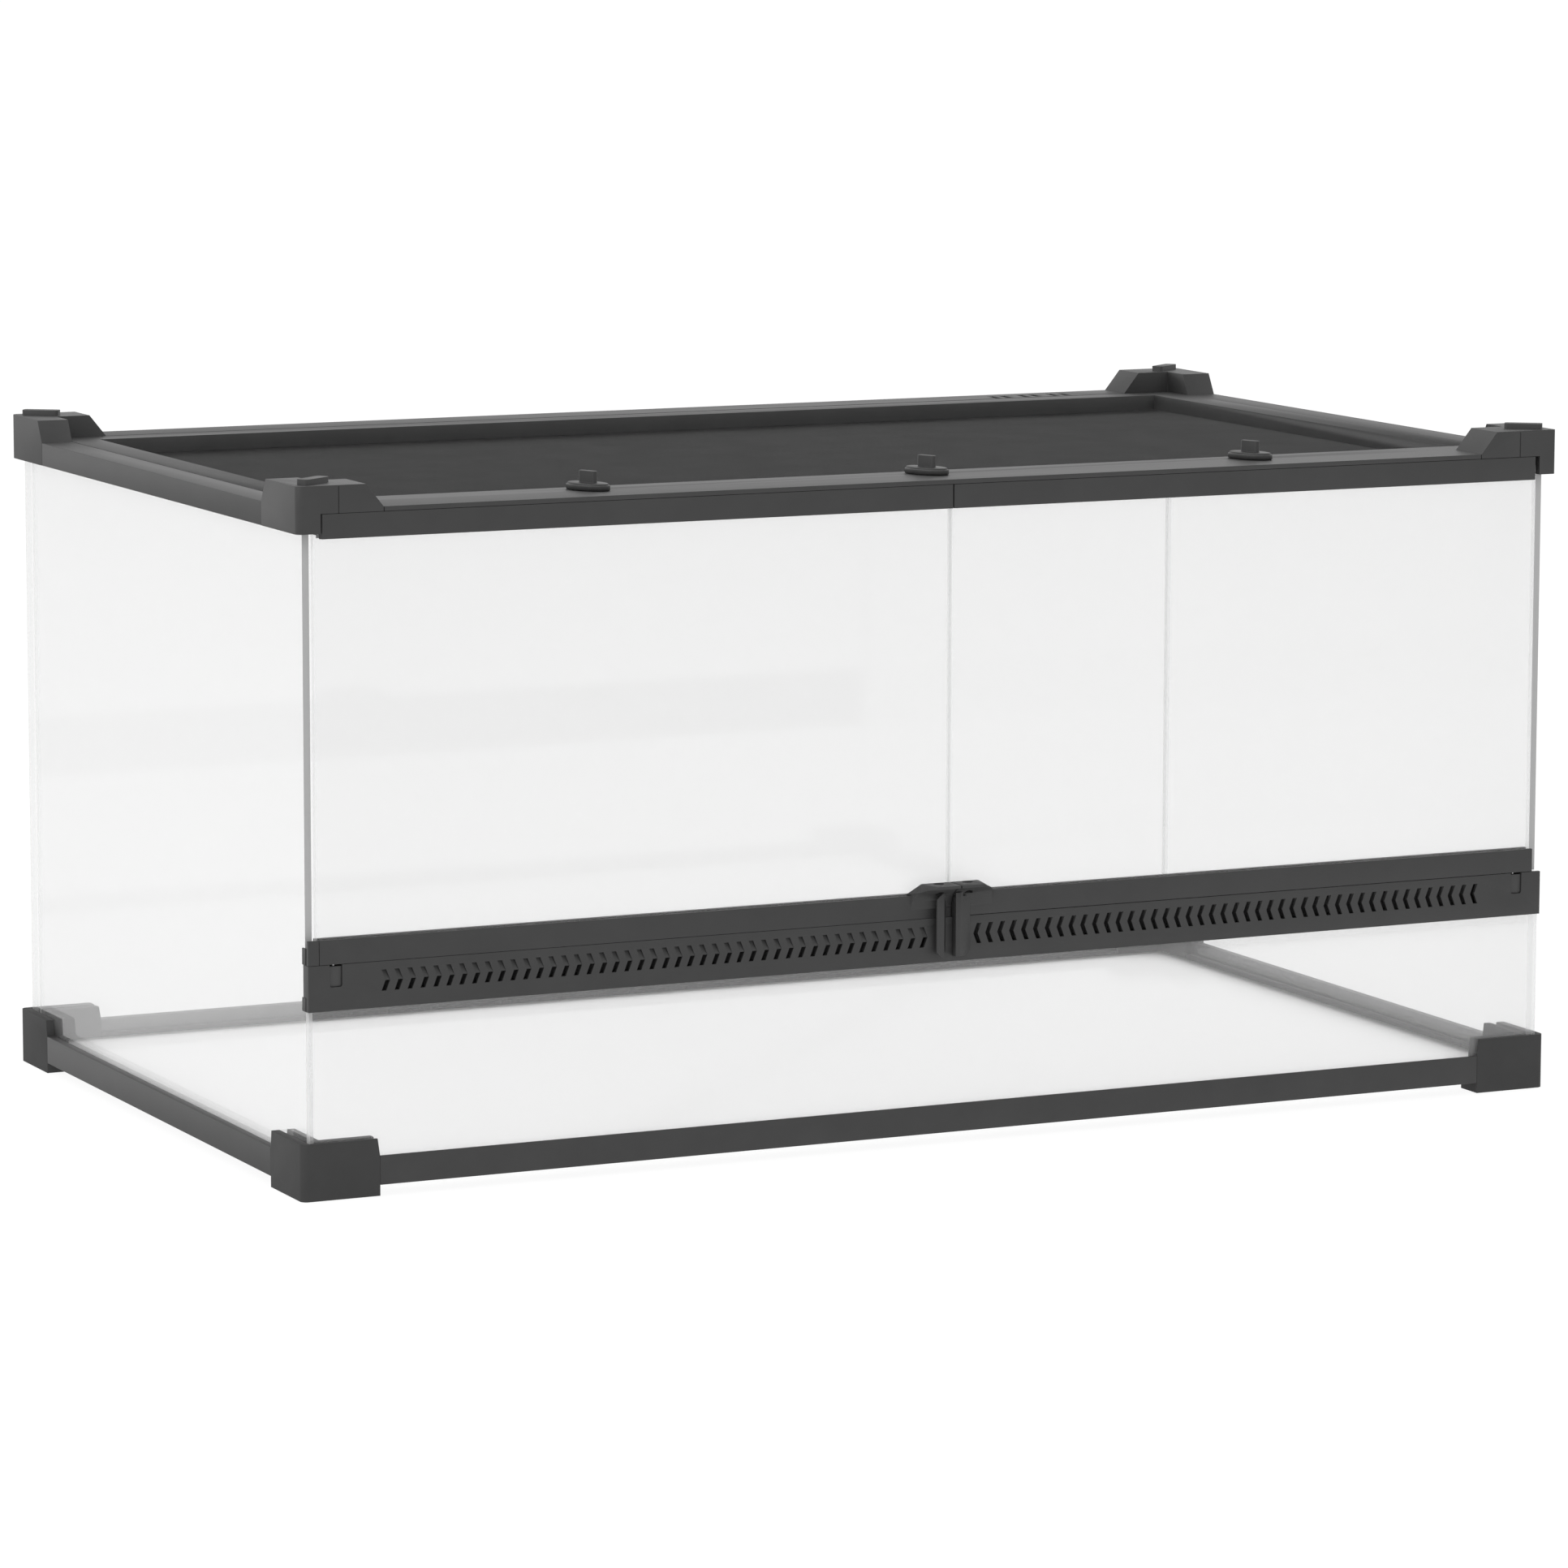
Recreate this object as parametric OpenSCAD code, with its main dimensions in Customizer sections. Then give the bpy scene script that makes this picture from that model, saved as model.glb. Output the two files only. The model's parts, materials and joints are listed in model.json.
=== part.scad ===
// Glass terrarium with two hinged front doors, a lift-up mesh lid and three twist locks.
// Millimetres, Z up, front towards -Y.  Origin: centre of the footprint, on the floor.
// Inside the modules x runs from the left foot, y from the front feet and z from the floor.

/* [Overall] */
// width over the feet
body_w = 1000; // [900:5:1100]
// depth over the feet
body_d = 586; // [520:2:640]
// height of the top face of the upper frame
rim_z = 480; // [440:1:540]
// overhang of the upper frame and of the door rails, front and back
rim_over = 1; // [0.5:0.1:2]
// radius of the upright outer corners
corner_r = 5; // [3:0.5:7]

/* [Glass] */
// thickness of every pane
glass_t = 5; // [4:0.5:6]
// free space on each side of a pane in its groove
glass_gap = 0.3; // [0.1:0.05:0.5]
// side panes: outer face in from the outside of the feet
side_in = 6.5; // [5.5:0.1:8]
// front panes: outer face in from the front of the feet
front_in = 2.3; // [2:0.1:3]
// back pane: outer face in from the back of the feet
back_in = 9.5; // [8:0.1:12]
// height of the top edge of the side and back panes below the rim
pane_drop = 5; // [4:0.5:7]

/* [Base frame] */
// free height under the rails
rail_lift = 7.6; // [5:0.1:9]
// thickness of the rail floor that carries the panes
rail_floor = 3.9; // [3:0.1:6]
// height of the top edge of the rails
rail_top = 28.3; // [24:0.1:34]
// thickness of the inner groove wall
groove_wall = 5.5; // [4:0.1:7]
// height of the inner groove wall of the rails
groove_top = 20; // [18:0.5:23]
// width of the ledge under the floor pane
ledge_w = 9.7; // [7:0.1:12]
// height of the feet
foot_h = 40.5; // [36:0.5:50]
// length of a foot along the front
foot_x = 58; // [45:1:75]
// length of a foot along the side
foot_y = 60; // [45:1:75]
// slant of the foot ends above the rails
foot_slant = 1.8; // [0:0.1:4]

/* [Upper frame] */
// height of the frame
rim_h = 17; // [14:0.5:22]
// width of the fixed side rails
rim_side_w = 24; // [20:0.5:28]
// width of the fixed back rail
rim_back_w = 33; // [30:0.5:38]
// thickness of the channel walls
rim_wall = 3; // [2.5:0.1:3.4]
// rise of the corner blocks over the rim
block_rise = 16; // [10:0.5:22]
// length of a block along the side, on top
block_y = 59; // [50:1:68]
// slant length of a block along the side
block_y_slant = 9; // [4:0.5:14]
// length of a block along the front, on top
block_x = 50.5; // [46:0.5:58]
// slant length of a block along the front
block_x_slant = 13; // [6:0.5:18]
// depth of the front blocks
block_d = 37; // [34:0.5:42]
// width of the post beside the right door
post_w = 13.4; // [13:0.1:14.5]
// radius of the right front corner of the upper frame
corner_rr = 1.5; // [1:0.5:5]
// seam in the face of a front block, in from the side
seam_x = 30; // [26:0.5:34]
// width of the seam
seam_w = 0.8; // [0.4:0.1:1.2]
// depth of the seam
seam_d = 0.5; // [0.3:0.1:0.8]
// length of a stacking pad
pad_l = 28; // [20:0.5:30]
// width of a stacking pad
pad_w = 9.5; // [6:0.1:12]
// height of a stacking pad
pad_h = 4; // [2:0.1:6]
// corner radius of a stacking pad
pad_r = 2.5; // [1:0.1:3]
// turn of a stacking pad away from the front
pad_turn = 35; // [25:1:50]
// middle of a pad in from the side
pad_x = 18; // [17:0.5:22]
// middle of a pad in from the front or the back
pad_y = 15.5; // [14.5:0.5:18]
// start of the fixed front rail, behind the doors
bar_y = 18.5; // [18.5:0.5:20]
// back face of the fixed front rail
bar_back = 33; // [30.5:0.5:33]
// height of the lower edge of the fixed front rail below the rim
bar_drop = 21; // [19:0.5:26]
// chamfer of its lower back edge, which leads the lock cams
bar_edge = 1; // [0.5:0.1:2]
// thickness of the ledge that carries the lid
lid_ledge_t = 4.2; // [3:0.1:5]
// width of the ledge that carries the lid
lid_ledge_w = 7.5; // [4:0.1:10]
// width of a cable slot in the back rail
cable_w = 5.5; // [4.5:0.1:7]
// length of a cable slot
cable_l = 16; // [12:0.5:17]
// distance between the two slots of a pair
cable_step = 10.3; // [9:0.1:12]
// distance between the pairs
pair_step = 26.4; // [24:0.1:30]
// middle of the first pair in from the right
pair_in = 170.7; // [150:0.1:260]

/* [Lid] */
// width of the lid rails at the sides and at the back
lid_rail_w = 25; // [22:0.5:32]
// back edge of the front strip of the lid
strip_y = 63; // [61:0.5:68]
// thickness of the front strip
strip_t = 3.3; // [3:0.1:4]
// thickness of the lid walls
lid_wall = 3.5; // [2.5:0.1:4.5]
// thickness of the mesh
mesh_t = 0.8; // [0.6:0.1:1.2]
// free space between the lid and the fixed frame, side to side
lid_gap = 0.5; // [0.3:0.1:1]
// free height between parts that move over each other
seat_gap = 0.3; // [0.2:0.05:0.5]
// radius of the hinge bead at the back of the lid
bead_r = 3; // [2.6:0.1:3.4]
// length of a lid hinge pin
lid_pin_l = 18; // [14:1:24]

/* [Twist locks] */
// distance between the locks
lock_step = 265; // [200:1:300]
// middle of the locks, back from the front of the feet
lock_y = 42; // [41:0.5:43]
// length of the oval knob
knob_l = 37; // [32:0.5:40]
// width of the oval knob
knob_w = 22; // [18:0.5:24]
// height of the oval knob
knob_h = 4.8; // [3:0.1:7]
// radius of the rounded ends of the knob
knob_end_r = 7; // [6:0.5:8]
// chamfer of the upper edge of the knob
knob_edge = 1.2; // [0.5:0.1:1.6]
// length of the grip on the knob
grip_l = 15.5; // [10:0.5:20]
// thickness of the grip
grip_t = 4.3; // [3:0.1:6]
// rise of the grip over the knob
grip_h = 8.4; // [5:0.1:12]
// turn of the knob from the front, as seen from above
knob_turn = -66; // [-70:1:-55]
// diameter of the lock shaft
shaft_d = 10; // [8:0.1:11]
// diameter of the narrow end of the shaft that carries the cam
shaft_end_d = 6; // [5:0.1:7]
// length of the cam under the lid
cam_l = 24; // [23:0.5:26]
// width of the cam
cam_w = 8; // [7.5:0.1:8.4]
// thickness of the cam
cam_t = 4; // [3:0.1:5]

/* [Vent rail] */
// height of the lower edge of the vent rail
vent_z = 132.8; // [110:0.1:150]
// height of the vent rail
vent_h = 32.2; // [31:0.1:36]
// thickness of the slotted front wall
vent_wall = 3; // [2.5:0.1:3.1]
// depth of the top of the vent rail
vent_d = 12; // [11:0.5:15]
// height of the pane groove in the vent rail
vent_groove = 7.5; // [6:0.1:8]
// left end of the vent rail in from the outside
vent_in_l = 5.3; // [5.2:0.05:5.4]
// right end of the vent rail in from the outside
vent_in_r = 6.7; // [6:0.1:7]
// slots in each group
slot_n = 44; // [20:1:44]
// space between the left slots and the middle of the rail
slot_mid = 25.55; // [22:0.05:40]
// width of a slot
slot_w = 3.5; // [2.5:0.1:3.8]
// height of a slot
slot_h = 14.8; // [12:0.1:15.6]
// reach of the slot point
slot_tip = 2.9; // [1.5:0.1:4]
// lower end of the slots above the vent rail
slot_up = 11.5; // [10.5:0.1:12]
// wall left behind the ramps in the upper halves of the left slots
ramp_t = 0.5; // [0.4:0.05:1]
// thickness of the baffle behind the slots
baffle_t = 2; // [1.5:0.1:2.5]
// height of the air slit over the baffle
baffle_slit = 3; // [2:0.1:3.4]
// first slot in from the left
slot_in_l = 59.5; // [50:0.5:60]
// first slot in from the right
slot_in_r = 61; // [50:0.5:62]

/* [Doors] */
// free space between the two doors
door_split = 1; // [0.8:0.1:2]
// reach of a door pane beyond its hinge line
door_in = 13; // [10:0.1:13]
// depth of the door rails
door_d = 12; // [11:0.5:13]
// height of a door rail
door_rail_h = 17.1; // [14:0.1:19]
// depth of the pane groove in a door rail
door_groove = 10.5; // [8:0.1:12]
// radius of the round outer end of the left top rail, around the hinge line
rail_end_r = 9.3; // [7:0.1:9.4]
// outer end of the right top rail in from the outside
door_top_r = 17; // [16.5:0.1:19]
// outer end of the bottom rails in from the outside
door_low = 13.7; // [13:0.1:14.5]
// hinge line of the left door in from the outside
hinge_l = 25.8; // [25:0.1:27]
// hinge line of the right door in from the outside
hinge_r = 27.5; // [26:0.1:28]
// hinge line of the doors behind the front of the feet
hinge_y = 4.8; // [4.6:0.1:5.2]
// angle the doors open to, for which the left post has a relief
door_swing = 110; // [90:5:115]
// diameter of the hinge pins
pin_d = 3; // [2.6:0.1:3.2]
// running space around a hinge pin, on the radius
pin_gap = 0.05; // [0.02:0.01:0.1]
// length of a hinge pin inside its rail
pin_in = 4; // [3:0.1:5]
// length of a hinge pin outside its rail
pin_out = 9; // [6:0.5:10]
// width of a hinge socket
socket_w = 9; // [7:0.1:9.4]
// reach of a hinge socket below the top of the vent rail
socket_h = 15.5; // [13:0.1:18]
// drop of the top of a socket below the vent rail
socket_drop = 1.2; // [0.5:0.1:2]
// radius of the lower corners of a socket
socket_r = 1.5; // [0.5:0.1:2.5]
// free space around a hinge socket in its window
socket_gap = 0.1; // [0.05:0.05:0.4]
// step of a hinge socket behind the front wall
socket_back = 1.2; // [0.5:0.1:1.4]
// depth of a hinge socket
socket_d = 8.6; // [7:0.1:9]
// depth of the glass clips outside the side pane
clip_d = 9.4; // [8:0.1:11]
// thickness of the glass clip outside the side pane
clip_t = 0.9; // [0.8:0.05:1]

/* [Handle] */
// height of the top of the finger shelf
shelf_z = 190; // [186:0.5:196]
// reach of the finger shelf in front of the feet
shelf_out = 17; // [12:0.5:22]
// thickness of the shelf at its front edge
shelf_t = 2; // [1.6:0.1:3]
// half width of the flat top of the shelf, at the glass
shelf_half = 22.8; // [20:0.1:28]
// half width of the flat top of the shelf, at its front edge
shelf_half_f = 18.4; // [16.5:0.1:20]
// half width of the shelf with its sloping ends, at the glass
shelf_end = 34.4; // [31:0.1:40]
// half width of the shelf with its sloping ends, at its front edge
shelf_end_f = 23.6; // [21.5:0.1:30]
// slope of the ends, in degrees
shelf_slope = 30; // [20:1:36]
// diameter of the holes in the shelf
shelf_hole_d = 8; // [5:0.5:9]
// holes: distance from the middle
shelf_hole_x = 11.5; // [10:0.5:14]
// holes: distance in front of the feet
shelf_hole_y = 3; // [2.5:0.5:8]
// depth of the holes
shelf_hole_h = 8; // [4:0.5:9]
// half width of the pull plates
pull_half = 14.7; // [12:0.1:18]
// front of the pull plates in front of the feet
pull_out = 7; // [5:0.1:9]
// lower end of the pull plates
pull_low = 137; // [134:0.5:142]
// upper end of the pull plates
pull_high = 183.3; // [182:0.1:186]
// thickness of the front of the pull plates
pull_t = 1.6; // [1.2:0.1:2.5]
// step of the neck behind the front of the pull plates
pull_step = 3; // [1:0.1:4]
// corner cut of the pull plates, sideways
pull_cut_x = 5; // [3:0.1:7]
// corner cut of the pull plates, upwards
pull_cut_z = 4; // [2:0.1:6]
// radius of the finger hollow in the left pull plate
hollow_r = 9; // [7:0.5:10]
// width of the front face of the right pull plate
pull_face = 3.5; // [2:0.1:6]
// free space between the pull plates and the vent rail
pull_gap = 0.5; // [0.4:0.05:0.7]

/* [Hidden] */
$fn = 64;
e = 1;
front_y = -rim_over;
back_y = body_d + rim_over;
mid_y = (back_y - shelf_out) / 2;
slot_t = glass_t + 2 * glass_gap;
side_wall = side_in - glass_gap;
front_wall = front_in - glass_gap;
back_wall = back_in - glass_gap;
seat_z = rail_lift + rail_floor;
rim_low = rim_z - rim_h;
block_top = rim_z + block_rise;
pane_top = rim_z - pane_drop;
rim_slot_top = pane_top + glass_gap;
block_low_y = block_y + block_y_slant;
block_low_x = block_x + block_x_slant;
strip_low = rim_z - strip_t;
bar_top = strip_low - seat_gap;
bar_low = rim_z - bar_drop;
ledge_top = rim_low + lid_ledge_t;
lid_low = ledge_top + seat_gap;
lid_x = rim_side_w + lid_gap;
bead_y = back_y - rim_back_w - seat_gap - bead_r;
bead_z = rim_z - bead_r;
door_top = bar_top;
door_rail_low = door_top - door_rail_h;
vent_top = vent_z + vent_h;
door_bottom = vent_top + seat_gap;
slot_step = (body_w / 2 - slot_in_l - slot_mid) / (slot_n - 1);
slot_top = vent_z + slot_up + slot_h;
cavity_low = vent_z + slot_up - rim_over / 2;
cavity_top = vent_top - rim_wall - rim_over / 2;
door_pane_low = door_bottom + door_rail_h - door_groove - e;
door_pane_top = door_rail_low + door_groove;
vent_pane_top = vent_z + vent_groove - glass_gap;
pull_back = rim_over + pull_gap;
side_front = front_wall;
side_back = back_wall - glass_gap;

// ---- helpers ----

// box given by its limits
module block(x0, x1, y0, y1, z0, z1) {
  translate([x0, y0, z0])
    cube([x1 - x0, y1 - y0, z1 - z0]);
}

// moves the building axes to the middle of the footprint
module placed() {
  translate([-body_w / 2, -mid_y, 0])
    children();
}

// the same part seen from the right side
module from_right() {
  translate([body_w, 0, 0])
    mirror([1, 0, 0])
      children();
}

// the same part seen from the back
module from_back() {
  translate([0, body_d, 0])
    mirror([0, 1, 0])
      children();
}

// profile in x and z, drawn out along y
module along_y(y0, y1) {
  translate([0, y1, 0])
    rotate([90, 0, 0])
      linear_extrude(height = y1 - y0)
        children();
}

// profile in y and z, drawn out along x
module along_x(x0, x1) {
  translate([x0, 0, 0])
    rotate([90, 0, 90])
      linear_extrude(height = x1 - x0)
        children();
}

// rectangle with one rounded corner at the origin
module corner_plan(w, d, r) {
  translate([r, 0])
    square([w - r, d]);
  translate([0, r])
    square([w, d - r]);
  translate([r, r])
    circle(r);
}

// centred bar with round ends
module round_bar(l, w, h) {
  block(-(l - w) / 2, (l - w) / 2, -w / 2, w / 2, 0, h);
  translate([(l - w) / 2, 0, 0])
    cylinder(h = h, d = w);
  translate([-(l - w) / 2, 0, 0])
    cylinder(h = h, d = w);
}

// centred bar with rounded corners
module soft_bar(l, w, h, r) {
  block(-l / 2 + r, l / 2 - r, -w / 2, w / 2, 0, h);
  block(-l / 2, l / 2, -w / 2 + r, w / 2 - r, 0, h);
  for (sx = [-1, 1]) {
    for (sy = [-1, 1]) {
      translate([sx * (l / 2 - r), sy * (w / 2 - r), 0])
        cylinder(h = h, r = r);
    }
  }
}

// ---- base frame ----

// upright section of a base rail, outer wall t thick
module rail_profile(t) {
  polygon([
    [0, rail_lift],
    [t + slot_t + groove_wall + ledge_w, rail_lift],
    [t + slot_t + groove_wall + ledge_w, seat_z],
    [t + slot_t + groove_wall, seat_z],
    [t + slot_t + groove_wall, groove_top],
    [t + slot_t, groove_top],
    [t + slot_t, seat_z],
    [t, seat_z],
    [t, rail_top],
    [0, rail_top]
  ]);
}

module side_rail() {
  along_y(foot_y, body_d - foot_y)
    rail_profile(side_wall);
}

module end_rail(t) {
  along_x(foot_x, body_w - foot_x)
    rail_profile(t);
}

// foot at the front left, outer wall of the front t thick
module foot(t) {
  difference() {
    intersection() {
      linear_extrude(height = foot_h)
        corner_plan(foot_x + e, foot_y + e, corner_r);
      union() {
        along_y(0, t + slot_t + groove_wall + ledge_w)
          polygon([
            [0, 0],
            [foot_x, 0],
            [foot_x, rail_top],
            [foot_x - foot_slant, foot_h],
            [0, foot_h]
          ]);
        along_x(0, side_wall + slot_t + groove_wall + ledge_w)
          polygon([
            [0, 0],
            [foot_y, 0],
            [foot_y, rail_top],
            [foot_y - foot_slant, foot_h],
            [0, foot_h]
          ]);
      }
    }
    translate([side_wall + slot_t + groove_wall, t + slot_t + groove_wall, seat_z])
      cube([foot_x, foot_y, foot_h]);
    translate([side_wall, t - glass_gap, seat_z])
      cube([slot_t, foot_y, foot_h]);
    translate([side_wall + slot_t / 2, t, seat_z])
      cube([foot_x, slot_t, foot_h]);
  }
}

// ---- upper frame ----

// section of a fixed side rail with the lid ledge
module rim_profile() {
  polygon([
    [0, rim_low],
    [side_wall, rim_low],
    [side_wall, rim_slot_top],
    [side_wall + slot_t, rim_slot_top],
    [side_wall + slot_t, rim_low],
    [rim_side_w + lid_ledge_w, rim_low],
    [rim_side_w + lid_ledge_w, ledge_top],
    [rim_side_w, ledge_top],
    [rim_side_w, rim_z],
    [0, rim_z]
  ]);
}

module rim_side() {
  along_y(front_y + block_low_y, back_y - block_low_y)
    rim_profile();
}

// section of the fixed rail behind the doors, which carries the lid strip
module bar_profile() {
  polygon([
    [bar_y, bar_low],
    [bar_back - bar_edge, bar_low],
    [bar_back, bar_low + bar_edge],
    [bar_back, bar_top],
    [bar_y, bar_top]
  ]);
}

// section of the fixed back rail, measured back from its inner face
module back_profile() {
  groove = rim_back_w - rim_over - back_wall;
  polygon([
    [0, rim_low],
    [rim_wall, rim_low],
    [rim_wall, rim_z - lid_wall],
    [groove - slot_t - rim_wall, rim_z - lid_wall],
    [groove - slot_t - rim_wall, rim_low],
    [groove - slot_t, rim_low],
    [groove - slot_t, rim_slot_top],
    [groove, rim_slot_top],
    [groove, rim_low],
    [rim_back_w, rim_low],
    [rim_back_w, rim_z],
    [0, rim_z]
  ]);
}

module stacking_pad() {
  translate([pad_x, pad_y, block_top])
    rotate([0, 0, pad_turn])
      soft_bar(pad_l, pad_w, pad_h, pad_r);
}

// room for the round rail end and for the front of the open door, around the hinge line
module swing_plan() {
  face = hinge_y - front_y + seat_gap;
  reach = 2 * rail_end_r;
  out = [cos(door_swing), -sin(door_swing)];
  side = [-sin(door_swing), -cos(door_swing)];
  circle(rail_end_r + seat_gap, $fn = 128);
  polygon([[0, 0], face * side, face * side + reach * out, reach * out]);
}

// corner block at the front left; h is the hinge line of the door beside it,
// post the width of the post and r the corner radius; a walled post closes the pane groove
module front_corner(h, post, r, walled) {
  difference() {
    intersection() {
      translate([0, front_y, rim_low])
        linear_extrude(height = block_top - rim_low)
          corner_plan(block_low_x + e, block_low_y + e, r);
      union() {
        along_x(0, rim_side_w)
          polygon([
            [front_y, rim_low],
            [front_y + block_low_y, rim_low],
            [front_y + block_low_y, rim_z],
            [front_y + block_y, block_top],
            [front_y, block_top]
          ]);
        along_y(front_y, front_y + block_d)
          polygon([
            [0, strip_low],
            [block_low_x, strip_low],
            [block_low_x, rim_z],
            [block_x, block_top],
            [0, block_top]
          ]);
      }
    }
    block(post, block_low_x + e, front_y - e, bar_y, rim_low - e, strip_low);
    if (!walled) {
      block(side_wall, post + e, side_front - glass_gap, bar_y, rim_low - e, rim_slot_top);
    }
    translate([h, hinge_y, rim_low - e])
      linear_extrude(height = strip_low - rim_low + e)
        swing_plan();
    block(side_wall, side_wall + slot_t, side_front, block_low_y + e, rim_low - e, rim_slot_top);
    block(seam_x, seam_x + seam_w, front_y - e, front_y + seam_d, strip_low - e, block_top - 1);
    translate([h, hinge_y, strip_low - e])
      cylinder(h = pin_out + e + 1, d = pin_d + 2 * pin_gap);
  }
  stacking_pad();
}

// corner block at the back left, built from the back
module back_corner() {
  difference() {
    intersection() {
      translate([0, front_y, rim_low])
        linear_extrude(height = block_top - rim_low)
          corner_plan(block_low_x + e, block_low_y + e, corner_r);
      union() {
        along_x(0, rim_side_w)
          polygon([
            [front_y, rim_low],
            [front_y + block_low_y, rim_low],
            [front_y + block_low_y, rim_z],
            [front_y + block_y, block_top],
            [front_y, block_top]
          ]);
        along_y(front_y, front_y + rim_back_w)
          polygon([
            [0, rim_low],
            [block_low_x, rim_low],
            [block_low_x, rim_z],
            [block_x, block_top],
            [0, block_top]
          ]);
      }
    }
    block(side_wall, side_wall + slot_t, side_back, block_low_y + e, rim_low - e, rim_slot_top);
    block(side_wall + slot_t / 2, block_low_x + e, back_wall, back_wall + slot_t, rim_low - e, rim_slot_top);
    translate([rim_side_w - lid_pin_l / 2 - 1, body_d - bead_y, bead_z])
      rotate([0, 90, 0])
        cylinder(h = lid_pin_l / 2 + 1 + e, d = pin_d + 2 * pin_gap);
  }
  stacking_pad();
}

// ---- lid ----

// section of a lid side rail: a channel, open below, with a step for the mesh
module lid_side_profile() {
  polygon([
    [0, lid_low],
    [rim_wall, lid_low],
    [rim_wall, rim_z - rim_wall],
    [lid_rail_w - lid_wall, rim_z - rim_wall],
    [lid_rail_w - lid_wall, lid_low + mesh_t],
    [lid_rail_w, lid_low + mesh_t],
    [lid_rail_w, rim_z],
    [0, rim_z]
  ]);
}

module lid_side() {
  translate([lid_x, 0, 0])
    along_y(strip_y - lid_wall, bead_y)
      lid_side_profile();
}

// ---- locks ----

// oval outline from two flank arcs and two round ends
module oval(l, w, r) {
  a = l / 2 - r;
  b = w / 2 - r;
  c = (a * a - b * b) / (2 * b);
  flank = w / 2 + c;
  cut = flank * a / (flank - r);
  intersection() {
    translate([0, -c])
      circle(flank, $fn = 128);
    translate([0, c])
      circle(flank, $fn = 128);
    translate([-cut, -w])
      square([2 * cut, 2 * w]);
  }
  translate([a, 0])
    circle(r);
  translate([-a, 0])
    circle(r);
}

module lock_knob(n) {
  translate([body_w / 2 + n * lock_step, lock_y, rim_z])
    rotate([0, 0, knob_turn]) {
      translate([0, 0, seat_gap])
        linear_extrude(height = knob_h - knob_edge)
          oval(knob_l, knob_w, knob_end_r);
      translate([0, 0, seat_gap + knob_h - knob_edge])
        linear_extrude(height = knob_edge)
          oval(knob_l - 2 * knob_edge, knob_w - 2 * knob_edge, knob_end_r - knob_edge);
      translate([0, 0, seat_gap + knob_h - knob_edge])
        round_bar(grip_l, grip_t, grip_h + knob_edge);
      translate([0, 0, -bar_drop - seat_gap])
        cylinder(h = bar_drop + 2 * seat_gap + e, d = shaft_d);
      translate([0, 0, -bar_drop - seat_gap - cam_t])
        cylinder(h = cam_t + e, d = shaft_end_d);
    }
}

// a quarter turn brings the cam under the fixed front rail
module lock_cam(n) {
  translate([body_w / 2 + n * lock_step, lock_y, bar_low - seat_gap - cam_t])
    difference() {
      round_bar(cam_l, cam_w, cam_t);
      translate([0, 0, -e])
        cylinder(h = cam_t + 2 * e, d = shaft_end_d + 2 * pin_gap);
    }
}

// ---- vent rail ----

// lower half of a slot that points to the right, from its upper left corner
module slot_low() {
  polygon([
    [slot_tip, slot_h / 2],
    [slot_w + slot_tip, slot_h / 2],
    [slot_w, slot_h],
    [0, slot_h]
  ]);
}

// upper half of the same slot
module slot_high() {
  polygon([
    [0, 0],
    [slot_w, 0],
    [slot_w + slot_tip, slot_h / 2],
    [slot_tip, slot_h / 2]
  ]);
}

// row of slots cut through the front wall, from the left
module slot_row() {
  for (i = [0 : slot_n - 1]) {
    translate([slot_in_l + i * slot_step, front_y - e, slot_top])
      rotate([-90, 0, 0])
        linear_extrude(height = vent_wall + 2 * e)
          children();
  }
}

// wedge that is flush at the slot points and deep at the slot tops
module ramp_wedge() {
  rise = (vent_wall - ramp_t) * (slot_h / 2 + e) / (slot_h / 2);
  along_x(0, body_w / 2)
    polygon([
      [front_y - e, slot_top - slot_h / 2],
      [front_y, slot_top - slot_h / 2],
      [front_y + rise, slot_top + e],
      [front_y - e, slot_top + e]
    ]);
}

module vent_profile() {
  polygon([
    [front_y, vent_z],
    [front_wall, vent_z],
    [front_wall, vent_z + vent_groove],
    [front_wall + slot_t, vent_z + vent_groove],
    [front_wall + slot_t, vent_z],
    [front_y + vent_d, vent_z],
    [front_y + vent_d, cavity_top - baffle_slit],
    [front_y + vent_d - baffle_t, cavity_top - baffle_slit],
    [front_y + vent_d - baffle_t, cavity_low],
    [front_y + vent_wall, cavity_low],
    [front_y + vent_wall, cavity_top],
    [front_y + vent_d, cavity_top],
    [front_y + vent_d, vent_top],
    [front_y, vent_top]
  ]);
}

// upright plate with two round lower corners, between two depths
module round_foot(x0, x1, y0, y1, z0, z1, r) {
  along_y(y0, y1) {
    translate([x0, z0 + r])
      square([x1 - x0, z1 - z0 - r]);
    translate([x0 + r, z0])
      square([x1 - x0 - 2 * r, 2 * r]);
    translate([x0 + r, z0 + r])
      circle(r);
    translate([x1 - r, z0 + r])
      circle(r);
  }
}

module socket_window(h) {
  round_foot(h - socket_w / 2 - socket_gap, h + socket_w / 2 + socket_gap,
    front_y - e, front_y + socket_back + socket_d + socket_gap,
    vent_top - socket_h - socket_gap, vent_top + e, socket_r + socket_gap);
}

// solid around the two hinge windows
module socket_house(h) {
  block(h - socket_w / 2 - rim_wall, h + socket_w / 2 + rim_wall,
    front_y, front_y + vent_d, vent_z + vent_groove, vent_top);
}

module hinge_socket(h) {
  difference() {
    round_foot(h - socket_w / 2, h + socket_w / 2,
      front_y + socket_back, front_y + socket_back + socket_d,
      vent_top - socket_h, vent_top - socket_drop, socket_r);
    translate([h, hinge_y, vent_top - pin_out - 1])
      cylinder(h = pin_out + 1 + e, d = pin_d + 2 * pin_gap);
  }
}

// ---- doors, built for the left ----

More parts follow.
